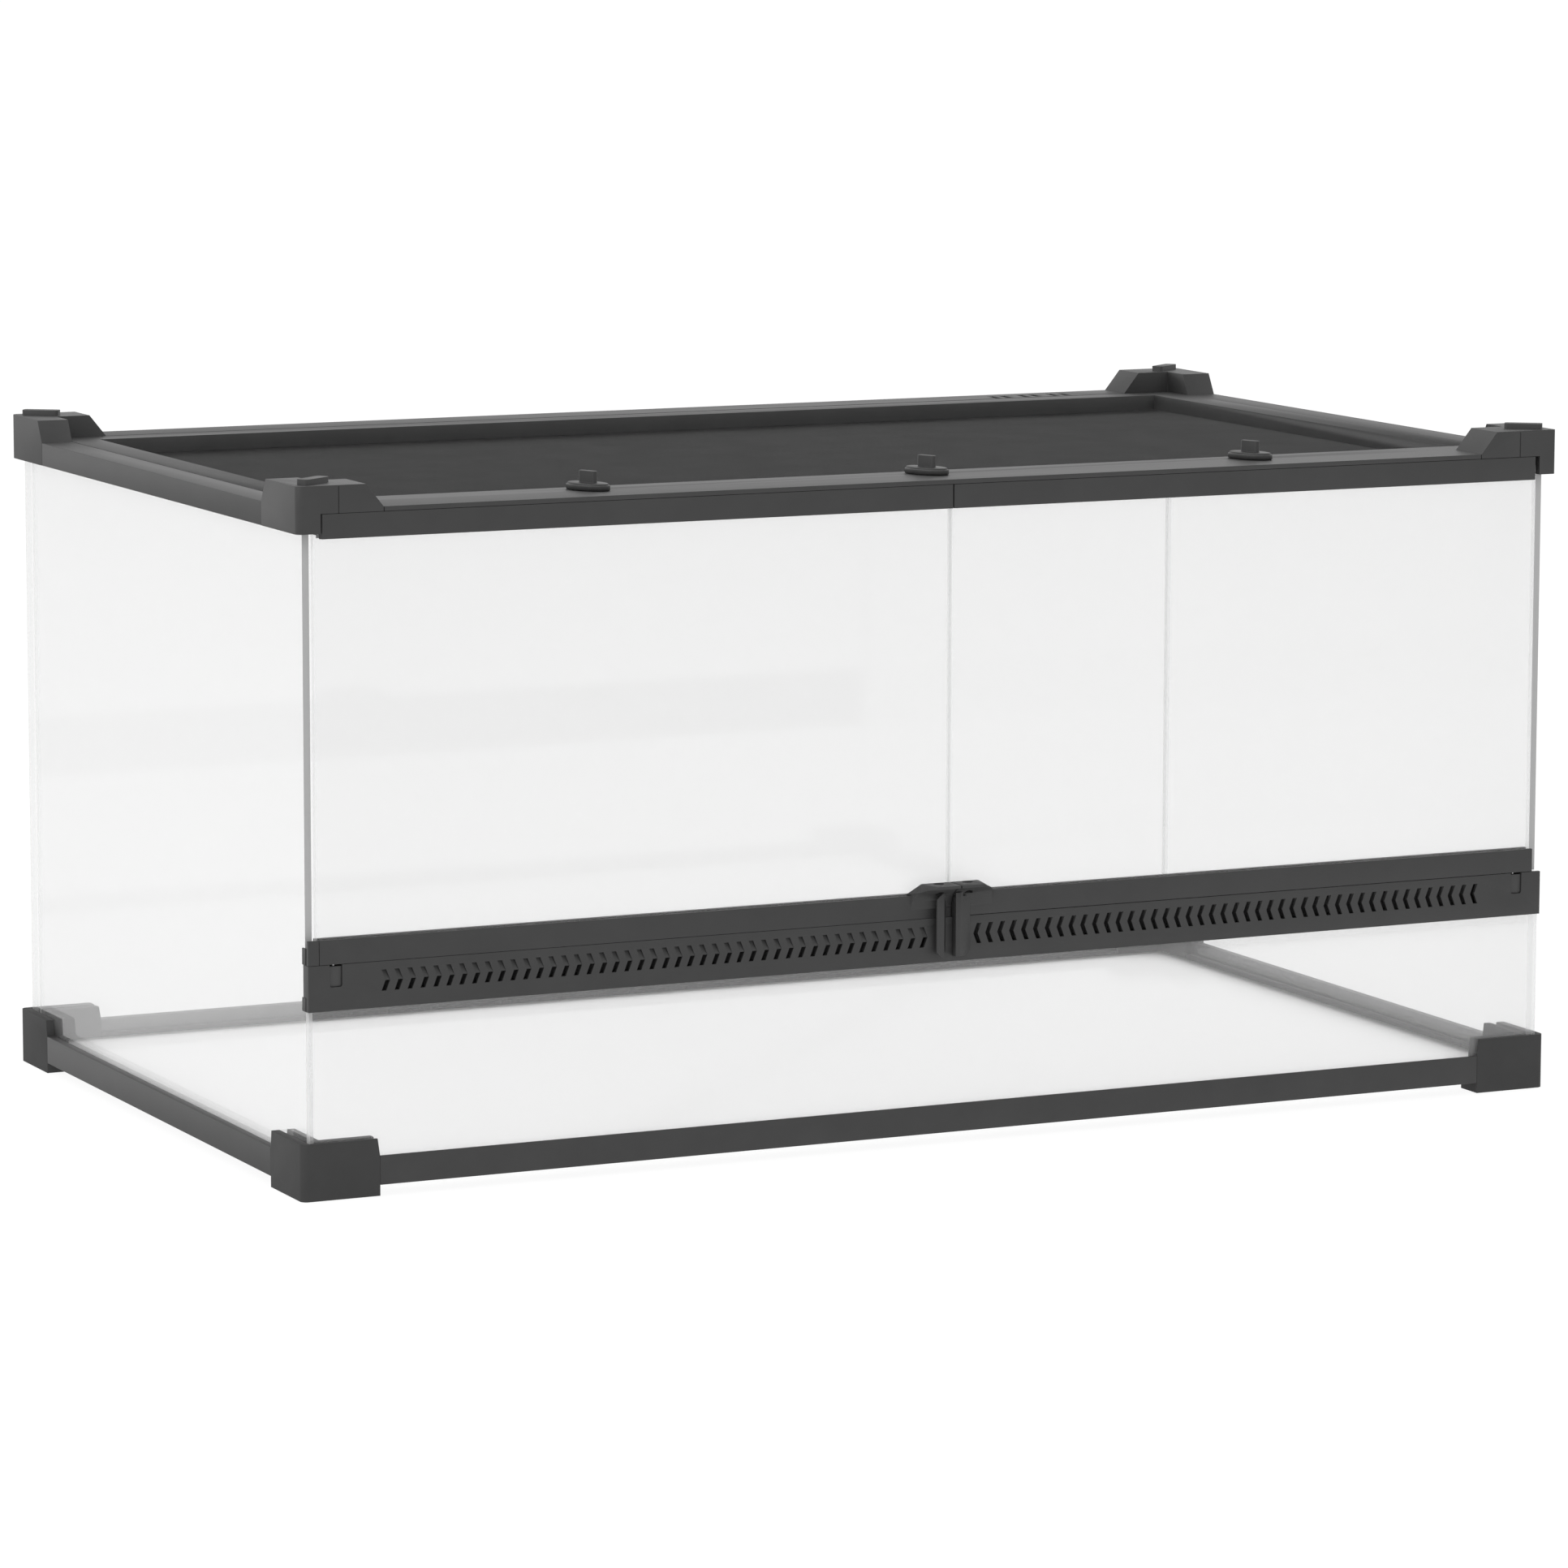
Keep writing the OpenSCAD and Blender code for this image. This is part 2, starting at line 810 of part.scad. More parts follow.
module door_pane(h) {
  block(h - door_in, body_w / 2 - door_split / 2, front_in, front_in + glass_t,
    door_pane_low, door_pane_top);
}

// x0 is the outer end of the rail, rounded to r around the hinge line h
module door_top_rail(x0, h, r) {
  difference() {
    union() {
      block(h, body_w / 2 - door_split / 2, front_y, front_y + door_d, door_rail_low, door_top);
      intersection() {
        block(x0, h + e, front_y, front_y + door_d, door_rail_low, door_top);
        translate([h, hinge_y, door_rail_low - e])
          cylinder(h = door_rail_h + 2 * e, r = r, $fn = 128);
      }
    }
    block(x0 - e, body_w / 2 + e, front_wall, front_wall + slot_t, door_rail_low - e, door_pane_top);
    translate([h, hinge_y, door_top - pin_in])
      cylinder(h = pin_in + e, d = pin_d);
  }
}

module door_bottom_rail(h) {
  difference() {
    block(door_low, body_w / 2 - door_split / 2, front_y, front_y + door_d,
      door_bottom, door_bottom + door_rail_h);
    block(door_low - e, body_w / 2 + e, front_wall, front_wall + slot_t,
      door_pane_low, door_bottom + door_rail_h + e);
    translate([h, hinge_y, door_bottom - e])
      cylinder(h = pin_in + e, d = pin_d);
  }
}

module door_upper_pin(h) {
  translate([h, hinge_y, door_top - pin_in])
    cylinder(h = pin_in + pin_out, d = pin_d);
}

module door_lower_pin(h) {
  translate([h, hinge_y, door_bottom - pin_out])
    cylinder(h = pin_in + pin_out, d = pin_d);
}

// box outside an upright plane of the shelf: x0 from the middle at the glass, x1 at the front edge
module beside_shelf(x0, x1, slope, z) {
  translate([body_w / 2 - x0, front_wall, z])
    rotate([0, -slope, atan((x0 - x1) / (front_wall + shelf_out))])
      translate([-shelf_out * 3, -shelf_out * 2, 0])
        cube([shelf_out * 3, shelf_out * 3, shelf_out * 4]);
}

// finger shelf over the seam, left half
module shelf() {
  cove_r = shelf_out - rim_over;
  low = shelf_z - shelf_t - cove_r;
  difference() {
    union() {
      block(body_w / 2 - shelf_end, body_w / 2 - door_split / 2, -shelf_out, front_y, low, shelf_z);
      block(body_w / 2 - shelf_end, body_w / 2 - door_split / 2, front_y - e, front_wall,
        door_bottom + door_rail_h, shelf_z);
    }
    beside_shelf(shelf_half, shelf_half_f, shelf_slope, shelf_z);
    beside_shelf(shelf_end, shelf_end_f, 0, low - e);
    translate([0, -shelf_out, low])
      rotate([0, 90, 0])
        cylinder(h = body_w, r = cove_r, $fn = 128);
    translate([body_w / 2 - shelf_hole_x, -shelf_hole_y, shelf_z - shelf_hole_h])
      cylinder(h = shelf_hole_h + e, d = shelf_hole_d);
  }
}

// outline of a pull plate, left half, s smaller all round
module pull_outline(s) {
  polygon([
    [body_w / 2 - pull_half + pull_cut_x, pull_low + s],
    [body_w / 2 - door_split / 2, pull_low + s],
    [body_w / 2 - door_split / 2, pull_high - s],
    [body_w / 2 - pull_half + pull_cut_x, pull_high - s],
    [body_w / 2 - pull_half + s, pull_high - pull_cut_z - s / 2],
    [body_w / 2 - pull_half + s, pull_low + pull_cut_z + s / 2]
  ]);
}

module pull_plate() {
  difference() {
    union() {
      along_y(-pull_out, -pull_out + pull_t)
        pull_outline(0);
      along_y(-pull_out + pull_t / 2, front_y)
        pull_outline(pull_step);
    }
    block(body_w / 2 - pull_half - e, body_w / 2 + e, -pull_back, front_y + e,
      pull_low - e, door_bottom);
  }
}

// right pull plate, whose front slants back to the side
module slant_plate() {
  difference() {
    intersection() {
      union() {
        along_y(-pull_out, -pull_back)
          pull_outline(0);
        along_y(-pull_out, front_y)
          pull_outline(pull_step);
      }
      translate([0, 0, pull_low - e])
        linear_extrude(height = pull_high - pull_low + 2 * e)
          polygon([
            [body_w / 2, -pull_out],
            [body_w / 2 - door_split / 2 - pull_face, -pull_out],
            [body_w / 2 - pull_half, -pull_back],
            [body_w / 2 - pull_half, front_y + e],
            [body_w / 2, front_y + e]
          ]);
    }
    block(body_w / 2 - pull_half - e, body_w / 2 + e, -pull_out + pull_t, front_y + e,
      pull_high - pull_step, pull_high + e);
    block(body_w / 2 - pull_half - e, body_w / 2 + e, -pull_back, front_y + e,
      pull_low - e, door_bottom);
  }
}

module left_handle() {
  shelf();
  difference() {
    pull_plate();
    translate([body_w / 2, -hollow_r, pull_low - e])
      cylinder(h = pull_high - pull_low + 2 * e, r = hollow_r);
  }
}

module right_handle() {
  from_right() {
    shelf();
    slant_plate();
  }
}

// ---- nodes: base ----

module base_front_rail() color("DimGray") placed() end_rail(front_wall);
module base_back_rail() color("DimGray") placed() from_back() end_rail(back_wall);
module base_left_rail() color("DimGray") placed() side_rail();
module base_right_rail() color("DimGray") placed() from_right() side_rail();
module foot_front_left() color("DimGray") placed() foot(front_wall);
module foot_front_right() color("DimGray") placed() from_right() foot(front_wall);
module foot_back_left() color("DimGray") placed() from_back() foot(back_wall);
module foot_back_right() color("DimGray") placed() from_back() from_right() foot(back_wall);

// ---- nodes: panes ----

module floor_glass() {
  x0 = side_wall + slot_t + groove_wall + glass_gap;
  y0 = front_wall + slot_t + groove_wall + glass_gap;
  y1 = body_d - back_wall - slot_t - groove_wall - glass_gap;
  color("LightCyan")
    placed()
      block(x0, body_w - x0, y0, y1, seat_z, seat_z + glass_t);
}

module back_glass() {
  x0 = side_in + glass_t + 0.5;
  color("LightCyan")
    placed()
      block(x0, body_w - x0, body_d - back_in - glass_t, body_d - back_in, seat_z, pane_top);
}

module side_pane() {
  block(side_in, side_in + glass_t, side_front, body_d - side_back - glass_gap, seat_z, pane_top);
}

module left_glass() color("LightCyan") placed() side_pane();
module right_glass() color("LightCyan") placed() from_right() side_pane();

module front_glass() {
  x0 = side_in + glass_t + 0.5;
  color("LightCyan")
    placed()
      block(x0, body_w - x0, front_in, front_in + glass_t, seat_z, vent_pane_top);
}

// ---- nodes: vent rail ----

module vent_rail() {
  x0 = side_in + glass_t + 0.5;
  color("DimGray")
    placed()
      difference() {
        union() {
          along_x(x0, body_w - x0)
            vent_profile();
          block(vent_in_l, x0 + e, front_y, side_front - glass_gap, vent_z, vent_top);
          block(body_w - x0 - e, body_w - vent_in_r, front_y, side_front - glass_gap, vent_z, vent_top);
          block(vent_in_l, vent_in_l + clip_t, front_y, front_y + clip_d, vent_z, vent_top);
          block(vent_in_l - clip_t / 2, vent_in_l + clip_t, front_y + 4.6, front_y + clip_d + 1.3,
            vent_z, vent_z + 9.5);
          socket_house(hinge_l);
          from_right()
            socket_house(hinge_r);
        }
        slot_row()
          slot_low();
        intersection() {
          slot_row()
            slot_high();
          ramp_wedge();
        }
        from_right()
          translate([slot_in_r - slot_in_l, 0, 0])
            slot_row()
              union() {
                slot_low();
                slot_high();
              }
        socket_window(hinge_l);
        from_right()
          socket_window(hinge_r);
      }
}

module left_hinge_socket() color("Gray") placed() hinge_socket(hinge_l);
module right_hinge_socket() color("Gray") placed() from_right() hinge_socket(hinge_r);

module left_glass_clip() {
  color("DimGray")
    placed()
      difference() {
        union() {
          block(vent_in_l, door_low - seat_gap, front_y, side_front - glass_gap,
            door_bottom, door_bottom + door_rail_h);
          block(vent_in_l + clip_t / 3, vent_in_l + clip_t, front_y, front_y + 6,
            door_bottom, door_bottom + 11.5);
          block(vent_in_l - clip_t / 3, vent_in_l + clip_t, front_y + 4.6, front_y + clip_d + 1.3,
            door_bottom, door_bottom + 11.5);
        }
        translate([hinge_l, hinge_y, vent_top])
          cylinder(h = door_rail_h + e, r = hinge_l - door_low + 1.7, $fn = 128);
      }
}

// ---- nodes: upper frame ----

module top_front_rail() {
  color("DimGray")
    placed()
      along_x(rim_side_w, body_w - rim_side_w)
        bar_profile();
}

module top_back_rail() {
  inner = back_y - rim_back_w;
  color("DimGray")
    placed()
      difference() {
        translate([0, inner, 0])
          along_x(block_low_x, body_w - block_low_x)
            back_profile();
        for (i = [0 : 2]) {
          for (s = [-0.5, 0.5]) {
            translate([body_w - pair_in + i * pair_step + s * cable_step - cable_w / 2, inner + rim_wall, rim_z - lid_wall])
              cube([cable_w, cable_l, lid_wall + e]);
          }
        }
      }
}

module top_left_rail() color("DimGray") placed() rim_side();
module top_right_rail() color("DimGray") placed() from_right() rim_side();
module corner_front_left() color("DimGray") placed() front_corner(hinge_l, hinge_l, corner_r, false);
module corner_front_right() color("DimGray") placed() from_right() front_corner(hinge_r, post_w, corner_rr, true);
module corner_back_left() color("DimGray") placed() from_back() back_corner();
module corner_back_right() color("DimGray") placed() from_back() from_right() back_corner();

// ---- nodes: lid ----

// flat plate over the doors and the fixed front rail, with the holes of the locks
module lid_front_strip() {
  step_y = front_y + block_d + lid_gap;
  color("DimGray")
    placed()
      difference() {
        union() {
          block(block_low_x + lid_gap, body_w - block_low_x - lid_gap, front_y, step_y, strip_low, rim_z);
          block(lid_x, body_w - lid_x, step_y, strip_y, strip_low, rim_z);
        }
        for (n = [-1 : 1]) {
          translate([body_w / 2 + n * lock_step, lock_y, strip_low - e])
            cylinder(h = strip_t + 2 * e, d = shaft_d + 2 * pin_gap);
        }
      }
}

// channels around the mesh, which carry the front strip
module lid_frame() {
  inner = bead_y + bead_r - lid_rail_w;
  color("DimGray")
    placed()
      difference() {
        union() {
          block(lid_x, body_w - lid_x, strip_y - lid_wall, strip_y, lid_low + mesh_t, rim_z);
          lid_side();
          from_right()
            lid_side();
          along_x(lid_x, body_w - lid_x)
            polygon([
              [inner, lid_low + mesh_t],
              [inner + lid_wall, lid_low + mesh_t],
              [inner + lid_wall, rim_z - rim_wall],
              [bead_y - lid_wall, rim_z - rim_wall],
              [bead_y - lid_wall, lid_low],
              [bead_y, lid_low],
              [bead_y, rim_z],
              [inner, rim_z]
            ]);
          translate([lid_x, bead_y, bead_z])
            rotate([0, 90, 0])
              cylinder(h = body_w - 2 * lid_x, r = bead_r);
        }
        block(lid_x - e, body_w - lid_x + e, strip_y - lid_wall - e, strip_y, strip_low, rim_z + e);
        translate([lid_x - e, bead_y, bead_z])
          rotate([0, 90, 0])
            cylinder(h = lid_pin_l / 2 + e, d = pin_d);
        translate([body_w - lid_x - lid_pin_l / 2, bead_y, bead_z])
          rotate([0, 90, 0])
            cylinder(h = lid_pin_l / 2 + e, d = pin_d);
      }
}

// sheet of the thickness of the woven mesh, whose openings are too fine to build
module lid_mesh() {
  x0 = lid_x + rim_wall + lid_gap;
  color("Gray")
    placed()
      block(x0, body_w - x0, strip_y - lid_wall, bead_y - lid_wall - lid_gap, lid_low, lid_low + mesh_t);
}

module lid_pin() {
  translate([lid_x - lid_pin_l / 2, bead_y, bead_z])
    rotate([0, 90, 0])
      cylinder(h = lid_pin_l, d = pin_d);
}

module lid_left_pin() color("Silver") placed() lid_pin();
module lid_right_pin() color("Silver") placed() from_right() lid_pin();

// ---- nodes: locks ----

module left_lock_knob() color("DarkSlateGray") placed() lock_knob(-1);
module middle_lock_knob() color("DarkSlateGray") placed() lock_knob(0);
module right_lock_knob() color("DarkSlateGray") placed() lock_knob(1);
module left_lock_cam() color("DarkSlateGray") placed() lock_cam(-1);
module middle_lock_cam() color("DarkSlateGray") placed() lock_cam(0);
module right_lock_cam() color("DarkSlateGray") placed() lock_cam(1);

// ---- nodes: doors ----

module left_door_glass() color("LightCyan") placed() door_pane(hinge_l);
module left_door_top_rail() color("DimGray") placed() door_top_rail(hinge_l - rail_end_r, hinge_l, rail_end_r);
module left_door_bottom_rail() color("DimGray") placed() door_bottom_rail(hinge_l);
module left_door_handle() color("DimGray") placed() left_handle();
module left_door_upper_pin() color("Silver") placed() door_upper_pin(hinge_l);
module left_door_lower_pin() color("Silver") placed() door_lower_pin(hinge_l);
module right_door_glass() color("LightCyan") placed() from_right() door_pane(hinge_r);
module right_door_top_rail() color("DimGray") placed() from_right() door_top_rail(door_top_r, hinge_r, hinge_r);
module right_door_bottom_rail() color("DimGray") placed() from_right() door_bottom_rail(hinge_r);
module right_door_handle() color("DimGray") placed() right_handle();
module right_door_upper_pin() color("Silver") placed() from_right() door_upper_pin(hinge_r);
module right_door_lower_pin() color("Silver") placed() from_right() door_lower_pin(hinge_r);

base_front_rail();
base_back_rail();
base_left_rail();
base_right_rail();
foot_front_left();
foot_front_right();
foot_back_left();
foot_back_right();
floor_glass();
back_glass();
left_glass();
right_glass();
front_glass();
vent_rail();
left_hinge_socket();
right_hinge_socket();
left_glass_clip();
top_front_rail();
top_back_rail();
top_left_rail();
top_right_rail();
corner_front_left();
corner_front_right();
corner_back_left();
corner_back_right();
lid_front_strip();
lid_frame();
lid_mesh();
lid_left_pin();
lid_right_pin();
left_lock_knob();
middle_lock_knob();
right_lock_knob();
left_lock_cam();
middle_lock_cam();
right_lock_cam();
left_door_glass();
left_door_top_rail();
left_door_bottom_rail();
left_door_handle();
left_door_upper_pin();
left_door_lower_pin();
right_door_glass();
right_door_top_rail();
right_door_bottom_rail();
right_door_handle();
right_door_upper_pin();
right_door_lower_pin();
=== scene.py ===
"""Looks for the glass terrarium: rounded edges, materials, woven mesh, studio and camera."""
import json
import math

import bmesh
import bpy
from mathutils import Matrix, Vector


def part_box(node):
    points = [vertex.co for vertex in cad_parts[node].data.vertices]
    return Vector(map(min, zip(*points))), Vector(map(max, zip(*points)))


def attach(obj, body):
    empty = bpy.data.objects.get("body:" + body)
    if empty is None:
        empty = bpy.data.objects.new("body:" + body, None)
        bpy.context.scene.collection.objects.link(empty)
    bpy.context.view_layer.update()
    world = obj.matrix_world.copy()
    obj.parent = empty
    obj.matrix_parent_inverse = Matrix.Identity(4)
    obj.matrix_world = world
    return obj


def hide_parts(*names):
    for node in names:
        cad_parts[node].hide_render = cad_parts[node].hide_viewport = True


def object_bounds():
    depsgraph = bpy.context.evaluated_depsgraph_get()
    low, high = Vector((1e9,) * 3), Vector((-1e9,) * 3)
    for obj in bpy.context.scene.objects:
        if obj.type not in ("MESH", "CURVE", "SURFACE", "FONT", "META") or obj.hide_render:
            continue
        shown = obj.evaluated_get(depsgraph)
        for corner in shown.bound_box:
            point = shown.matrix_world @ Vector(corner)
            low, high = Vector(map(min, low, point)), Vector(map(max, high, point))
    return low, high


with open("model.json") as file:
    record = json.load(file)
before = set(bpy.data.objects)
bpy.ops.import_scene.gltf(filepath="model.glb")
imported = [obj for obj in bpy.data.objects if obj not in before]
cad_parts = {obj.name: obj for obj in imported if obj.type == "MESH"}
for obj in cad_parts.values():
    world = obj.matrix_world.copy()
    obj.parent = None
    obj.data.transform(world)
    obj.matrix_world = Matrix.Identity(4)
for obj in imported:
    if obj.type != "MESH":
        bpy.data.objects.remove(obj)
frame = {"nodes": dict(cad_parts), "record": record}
nodes = frame["nodes"]
cad_box = [list(v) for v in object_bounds()]
scene = bpy.context.scene
scene.view_settings.view_transform = "Standard"
scene.view_settings.look = "None"

BODIES = frame["record"]["behaviour"]["bodies"]
BODY_OF = {n: b for b, members in BODIES.items() for n in members}
MM = 0.001
VENT_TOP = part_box("vent_rail")[1].z

# welding of the solids' vertices, flat faces and edges that are rounded
WELD = 2e-6
FLAT_DEG = 1.0
ROUNDED_DEG = 28
# rounding pushes one corner out by 0.016 mm, so the widest faces start this much further in
ROUNDING_ROOM = 0.02 * MM
PANE_GAP = 0.3 * MM
ARRIS = 0.3 * MM

WIRE_PITCH = 1.6 * MM
WIRE_THICK = 0.36 * MM
# the two sets of wires lie this share of their thickness above and below the middle
WIRE_OFFSET = 0.35

# the camera was fitted to the photograph: place, angles and focal length in pixels
PICTURE_PX = 1932.0
FOCAL_PX = 8405.67
SENSOR_MM = 36.0
VIEW_FROM = (-2.18698, -4.58844, 0.97252)
YAW_DEG = 25.517
PITCH_DEG = 8.388
ROLL_DEG = 0.107


# ---------------------------------------------------------------- materials

def new_material(name):
    mat = bpy.data.materials.new(name)
    mat.use_nodes = True
    tree = mat.node_tree
    tree.nodes.clear()
    out = tree.nodes.new("ShaderNodeOutputMaterial")
    return mat, tree, out


def add(tree, kind, **values):
    """New shader node with the given socket values; a low line stands for a space in a socket's name."""
    node = tree.nodes.new(kind)
    for key, value in values.items():
        node.inputs[key.replace("_", " ")].default_value = value
    return node


def place(tree):
    """Object coordinates in metres, which are the row frame for every piece."""
    return tree.nodes.new("ShaderNodeTexCoord").outputs["Object"]


def ramp(tree, fac, low, high, a, b):
    """Colour that goes from low at a to high at b."""
    node = tree.nodes.new("ShaderNodeValToRGB")
    node.color_ramp.elements[0].position = a
    node.color_ramp.elements[1].position = b
    node.color_ramp.elements[0].color = (*low, 1)
    node.color_ramp.elements[1].color = (*high, 1)
    tree.links.new(fac, node.inputs["Fac"])
    return node.outputs["Color"]


def curve(tree, fac, points):
    """Grey value that follows the given (place, value) points."""
    node = tree.nodes.new("ShaderNodeValToRGB")
    stops = node.color_ramp.elements
    while len(stops) < len(points):
        stops.new(0.5)
    for stop, (at, value) in zip(stops, points):
        stop.position = at
        stop.color = (value, value, value, 1)
    tree.links.new(fac, node.inputs["Fac"])
    return node.outputs["Color"]


def moulded_plastic(name, dark, light, rough, grain=1400.0, bump=0.08, ior=1.46):
    """Moulded plastic: faint flow mottling, fine grain in the gloss and in the surface."""
    mat, tree, out = new_material(name)
    where = place(tree)
    shader = add(tree, "ShaderNodeBsdfPrincipled", IOR=ior)
    mottle = add(tree, "ShaderNodeTexNoise", Scale=26.0, Detail=4.0, Roughness=0.6)
    fine = add(tree, "ShaderNodeTexNoise", Scale=grain, Detail=2.0, Roughness=0.5)
    tree.links.new(where, mottle.inputs["Vector"])
    tree.links.new(where, fine.inputs["Vector"])
    tree.links.new(ramp(tree, mottle.outputs["Fac"], dark, light, 0.3, 0.7), shader.inputs["Base Color"])
    spread = add(tree, "ShaderNodeMapRange")
    spread.inputs["To Min"].default_value = rough - 0.05
    spread.inputs["To Max"].default_value = rough + 0.05
    tree.links.new(fine.outputs["Fac"], spread.inputs["Value"])
    tree.links.new(spread.outputs["Result"], shader.inputs["Roughness"])
    relief = add(tree, "ShaderNodeBump", Strength=bump, Distance=0.0002)
    tree.links.new(fine.outputs["Fac"], relief.inputs["Height"])
    tree.links.new(relief.outputs["Normal"], shader.inputs["Normal"])
    tree.links.new(shader.outputs["BSDF"], out.inputs["Surface"])
    return mat


# share of light that a glass face mirrors, from straight on to edge-on
MIRROR = ((0.0, 0.03), (0.4, 0.04), (0.57, 0.09), (0.72, 0.2), (0.85, 0.42), (1.0, 0.9))


def clear_glass(name, haze, white, tint, glow=0.0, mirror=MIRROR):
    """Pane face: light goes straight through, under a faint uneven film and a mirror gloss.

    haze is the film's cover, white its brightness, glow the share of it that passes light on.
    """
    mat, tree, out = new_material(name)
    where = place(tree)
    through = add(tree, "ShaderNodeBsdfTransparent", Color=(*tint, 1))
    bloom = add(tree, "ShaderNodeBsdfDiffuse", Color=(white, white, white, 1))
    passing = add(tree, "ShaderNodeBsdfTranslucent", Color=(white, white, white, 1))
    gloss = add(tree, "ShaderNodeBsdfGlossy", Roughness=0.03, Color=(0.95, 0.95, 0.95, 1))
    smear = add(tree, "ShaderNodeTexNoise", Scale=3.0, Detail=3.0)
    tree.links.new(where, smear.inputs["Vector"])
    amount = add(tree, "ShaderNodeMapRange")
    amount.inputs["To Min"].default_value = haze - 0.004
    amount.inputs["To Max"].default_value = haze + 0.004
    tree.links.new(smear.outputs["Fac"], amount.inputs["Value"])
    bright = add(tree, "ShaderNodeMixShader", Fac=glow)
    tree.links.new(bloom.outputs["BSDF"], bright.inputs[1])
    tree.links.new(passing.outputs["BSDF"], bright.inputs[2])
    film = add(tree, "ShaderNodeMixShader")
    tree.links.new(amount.outputs["Result"], film.inputs["Fac"])
    tree.links.new(through.outputs["BSDF"], film.inputs[1])
    tree.links.new(bright.outputs["Shader"], film.inputs[2])
    facing = add(tree, "ShaderNodeLayerWeight", Blend=0.5)
    skin = add(tree, "ShaderNodeMixShader")
    tree.links.new(curve(tree, facing.outputs["Facing"], mirror), skin.inputs["Fac"])
    tree.links.new(film.outputs["Shader"], skin.inputs[1])
    tree.links.new(gloss.outputs["BSDF"], skin.inputs[2])
    tree.links.new(skin.outputs["Shader"], out.inputs["Surface"])
    return mat


def drawn_steel(name):
    """Bright drawn pin steel with a fine noisy tone."""
    mat, tree, out = new_material(name)
    shader = add(tree, "ShaderNodeBsdfPrincipled", Metallic=1.0)
    lines = add(tree, "ShaderNodeTexNoise", Scale=900.0, Detail=3.0)
    tree.links.new(place(tree), lines.inputs["Vector"])
    tree.links.new(ramp(tree, lines.outputs["Fac"], (0.42, 0.42, 0.43), (0.66, 0.66, 0.67), 0.3, 0.7),
                   shader.inputs["Base Color"])
    shader.inputs["Roughness"].default_value = 0.32
    tree.links.new(shader.outputs["BSDF"], out.inputs["Surface"])
    return mat


PLASTIC = moulded_plastic("frame_plastic", (0.026, 0.026, 0.026), (0.032, 0.032, 0.032), 0.5)
DOOR_PLASTIC = moulded_plastic("door_plastic", (0.026, 0.026, 0.026), (0.031, 0.031, 0.031), 0.52)
LOCK_PLASTIC = moulded_plastic("lock_plastic", (0.020, 0.020, 0.020), (0.026, 0.026, 0.026), 0.46)
SOCKET_PLASTIC = moulded_plastic("socket_plastic", (0.034, 0.034, 0.034), (0.042, 0.042, 0.042), 0.5)
FOOT_PLASTIC = moulded_plastic("foot_plastic", (0.047, 0.047, 0.047), (0.053, 0.053, 0.053), 0.58,
                               ior=1.15)
WIRE = moulded_plastic("wire_black", (0.006, 0.006, 0.006), (0.014, 0.014, 0.014), 0.5, grain=3000.0,
                       bump=0.02, ior=1.36)
FAINT = ((0.0, 0.02), (0.85, 0.05), (1.0, 0.2))
GLASS = clear_glass("clear_glass", 0.078, 0.875, (0.969, 0.969, 0.969))
GLASS_EDGE = clear_glass("glass_edge", 0.3, 0.8, (0.95, 0.955, 0.952), mirror=FAINT)
SEALED_EDGE = clear_glass("glass_sealed_edge", 0.94, 0.36, (0.9, 0.9, 0.9), mirror=FAINT)
WHITE_FILM = clear_glass("floor_film", 0.92, 1.0, (1, 1, 1), glow=1.0, mirror=FAINT)
STEEL = drawn_steel("pin_steel")


# ---------------------------------------------------------------- pieces

def on_lid_seam(edge):
    """Edges where the lid's front strip and its frame are one moulding stay sharp."""
    low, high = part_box("lid_front_strip")
    across = all(abs(v.co.y - high.y) < 1e-5 for v in edge.verts)
    under = all(abs(v.co.z - low.z) < 1e-5 and v.co.y > low.y + 0.05 for v in edge.verts)
    return across or under


def solid_copy(node, name, keep_sharp=None):
    """The node's own form as one welded mesh with clean flat faces and marked edges to round."""
    made = bmesh.new()
    made.from_mesh(nodes[node].data)
    bmesh.ops.remove_doubles(made, verts=made.verts, dist=WELD)
    bmesh.ops.dissolve_limit(made, angle_limit=math.radians(FLAT_DEG), verts=made.verts, edges=made.edges)
    reach = cad_box[1][0] - ROUNDING_ROOM
    for vert in made.verts:
        vert.co.x = max(-reach, min(reach, vert.co.x))
    for face in made.faces:
        face.smooth = True
    rounding = made.edges.layers.float.new("bevel_weight_edge")
    for edge in made.edges:
        if len(edge.link_faces) == 2 and edge.calc_face_angle() > math.radians(ROUNDED_DEG):
            edge[rounding] = 0.0 if keep_sharp and keep_sharp(edge) else 1.0
    mesh = bpy.data.meshes.new(name)
    made.to_mesh(mesh)
    made.free()
    piece = bpy.data.objects.new(name, mesh)
    scene.collection.objects.link(piece)
    return piece


def dress(node, material, width, keep_sharp=None):
    """A copy of the node with rounded edges, which stands for it on the same body."""
    piece = solid_copy(node, node + "_shaped", keep_sharp)
    piece.data.materials.append(material)
    edge = piece.modifiers.new("edge", "BEVEL")
    edge.width = width * MM
    edge.segments = 2
    edge.limit_method = "WEIGHT"
    edge.harden_normals = True
    edge.use_clamp_overlap = True
    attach(piece, BODY_OF[node])
    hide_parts(node)


